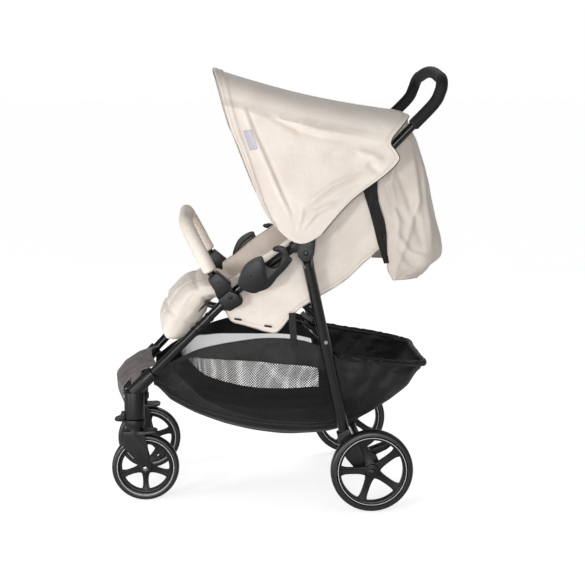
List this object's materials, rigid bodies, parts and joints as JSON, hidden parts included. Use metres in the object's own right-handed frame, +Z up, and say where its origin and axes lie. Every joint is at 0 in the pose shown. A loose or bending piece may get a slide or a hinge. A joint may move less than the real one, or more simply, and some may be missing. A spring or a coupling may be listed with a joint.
{
  "type": "pushchair",
  "caption": "Compact folding pushchair with a reclining padded seat, fan canopy, bumper bar, shopping basket, swivel castors at the front and larger fixed wheels at the back",
  "frame": {"origin": "on the ground at the centre of the bounding box's base", "axes": "+Z up, the front of the pushchair faces -X, +Y is its right-hand side and the plane y = 0 is its plane of symmetry"},
  "size_m": [0.782, 0.5876, 1.0097],
  "materials": {
    "tyre": "black moulded tyre, satin",
    "rim": "dark moulded nylon with a fine texture",
    "plastic": "black moulded nylon, fine spark texture",
    "grey_plastic": "charcoal moulded nylon, satin",
    "frame": "black powder-coated tube, semi-gloss",
    "steel": "zinc-plated steel",
    "foam": "matt closed-cell foam",
    "cream_cloth": "woven polyester, cream, matt",
    "black_cloth": "woven polyester, black, matt"
  },
  "bodies": {
    "chassis": {"front_leg_left": "frame", "front_leg_right": "frame", "castor_housing_left": "plastic", "castor_housing_right": "plastic", "footrest": "grey_plastic", "hinge_housing_left": "grey_plastic", "hinge_housing_right": "grey_plastic", "rear_pivot_pin_left": "steel", "rear_pivot_pin_right": "steel", "handle_pivot_pin_left": "steel", "handle_pivot_pin_right": "steel", "fold_hook_left": "plastic", "fold_hook_right": "plastic", "bumper_socket_left": "plastic", "bumper_socket_right": "plastic", "seat_frame": "frame", "seat_cushion": "cream_cloth", "side_panel_left": "cream_cloth", "side_panel_right": "cream_cloth", "basket_frame": "frame", "basket": "black_cloth", "rear_drape": "cream_cloth"},
    "handle": {"push_bar": "frame", "handle_grip": "foam"},
    "rear_legs": {"rear_leg_left": "frame", "rear_leg_right": "frame", "rear_foot_left": "plastic", "rear_foot_right": "plastic", "rear_axle_tube": "frame"},
    "canopy": {"canopy_bow": "frame", "canopy_fabric": "cream_cloth"},
    "rear_wheel_left": {"rear_tyre_left": "tyre", "rear_rim_left": "rim", "rear_hub_cap_left": "grey_plastic"},
    "rear_wheel_right": {"rear_tyre_right": "tyre", "rear_rim_right": "rim", "rear_hub_cap_right": "grey_plastic"},
    "castor_left": {"castor_fork_left": "plastic", "front_axle_bolt_left": "steel"},
    "castor_right": {"castor_fork_right": "plastic", "front_axle_bolt_right": "steel"},
    "front_wheel_left": {"front_tyre_left": "tyre", "front_rim_left": "rim"},
    "front_wheel_right": {"front_tyre_right": "tyre", "front_rim_right": "rim"},
    "lock_left": {"swivel_lock_left": "plastic"},
    "lock_right": {"swivel_lock_right": "plastic"},
    "brake_left": {"brake_pedal_left": "plastic"},
    "brake_right": {"brake_pedal_right": "plastic"},
    "bumper": {"bumper_bar": "frame", "bumper_sleeve": "cream_cloth"},
    "button_left": {"bumper_button_left": "grey_plastic"},
    "button_right": {"bumper_button_right": "grey_plastic"},
    "backrest": {"backrest_board": "black_cloth", "backrest_cushion": "cream_cloth"},
    "calf_rest": {"calf_board": "black_cloth", "calf_cushion": "cream_cloth"}
  },
  "joints": [
    {"name": "handle_fold", "type": "hinge", "parent": "chassis", "child": "handle", "pos_m": [0.062, 0, 0.64], "axis": [0, -1, 0], "range_deg": [0, 150]},
    {"name": "rear_leg_fold", "type": "hinge", "parent": "chassis", "child": "rear_legs", "pos_m": [0.0574, 0, 0.596], "axis": [0, 1, 0], "range_deg": [0, 45]},
    {"name": "canopy_fold", "type": "hinge", "parent": "chassis", "child": "canopy", "pos_m": [0.062, 0, 0.64], "axis": [0, 1, 0], "range_deg": [0, 60], "deforming": ["canopy_fabric"]},
    {"name": "rear_wheel_left_spin", "type": "hinge", "parent": "rear_legs", "child": "rear_wheel_left", "pos_m": [0.209, -0.271, 0.095], "axis": [0, 1, 0], "continuous": true},
    {"name": "rear_wheel_right_spin", "type": "hinge", "parent": "rear_legs", "child": "rear_wheel_right", "pos_m": [0.209, 0.271, 0.095], "axis": [0, 1, 0], "continuous": true},
    {"name": "castor_left_swivel", "type": "hinge", "parent": "chassis", "child": "castor_left", "pos_m": [-0.3365, -0.1455, 0.194], "axis": [0, 0, 1], "continuous": true},
    {"name": "castor_right_swivel", "type": "hinge", "parent": "chassis", "child": "castor_right", "pos_m": [-0.3365, 0.1455, 0.194], "axis": [0, 0, 1], "continuous": true},
    {"name": "front_wheel_left_spin", "type": "hinge", "parent": "castor_left", "child": "front_wheel_left", "pos_m": [-0.312, -0.1455, 0.079], "axis": [0, 1, 0], "continuous": true},
    {"name": "front_wheel_right_spin", "type": "hinge", "parent": "castor_right", "child": "front_wheel_right", "pos_m": [-0.312, 0.1455, 0.079], "axis": [0, 1, 0], "continuous": true},
    {"name": "lock_left_flip", "type": "hinge", "parent": "chassis", "child": "lock_left", "pos_m": [-0.3612, -0.1455, 0.2118], "axis": [0, 1, 0], "range_deg": [0, 20]},
    {"name": "lock_right_flip", "type": "hinge", "parent": "chassis", "child": "lock_right", "pos_m": [-0.3612, 0.1455, 0.2118], "axis": [0, 1, 0], "range_deg": [0, 20]},
    {"name": "brake_left_press", "type": "hinge", "parent": "rear_legs", "child": "brake_left", "pos_m": [0.206, -0.219, 0.119], "axis": [0, 1, 0], "range_deg": [0, 18]},
    {"name": "brake_right_press", "type": "hinge", "parent": "rear_legs", "child": "brake_right", "pos_m": [0.206, 0.219, 0.119], "axis": [0, 1, 0], "range_deg": [0, 18]},
    {"name": "bumper_slide", "type": "slide", "parent": "chassis", "child": "bumper", "axis": [-0.4585, 0, 0.8887], "range_m": [0, 0.06]},
    {"name": "button_left_press", "type": "slide", "parent": "chassis", "child": "button_left", "axis": [0, 1, 0], "range_m": [0, 0.002], "stiffness_N_per_m": 300},
    {"name": "button_right_press", "type": "slide", "parent": "chassis", "child": "button_right", "axis": [0, -1, 0], "range_m": [0, 0.002], "stiffness_N_per_m": 300},
    {"name": "backrest_recline", "type": "hinge", "parent": "chassis", "child": "backrest", "pos_m": [-0.02, 0, 0.437], "axis": [0, -1, 0], "range_deg": [0, 32]},
    {"name": "calf_rest_tilt", "type": "hinge", "parent": "chassis", "child": "calf_rest", "pos_m": [-0.163, 0, 0.466], "axis": [0, 1, 0], "range_deg": [0, 40]}
  ],
  "couplings": [
    {"joint": "rear_leg_fold", "follows": "handle_fold", "ratio": 0.3}
  ]
}
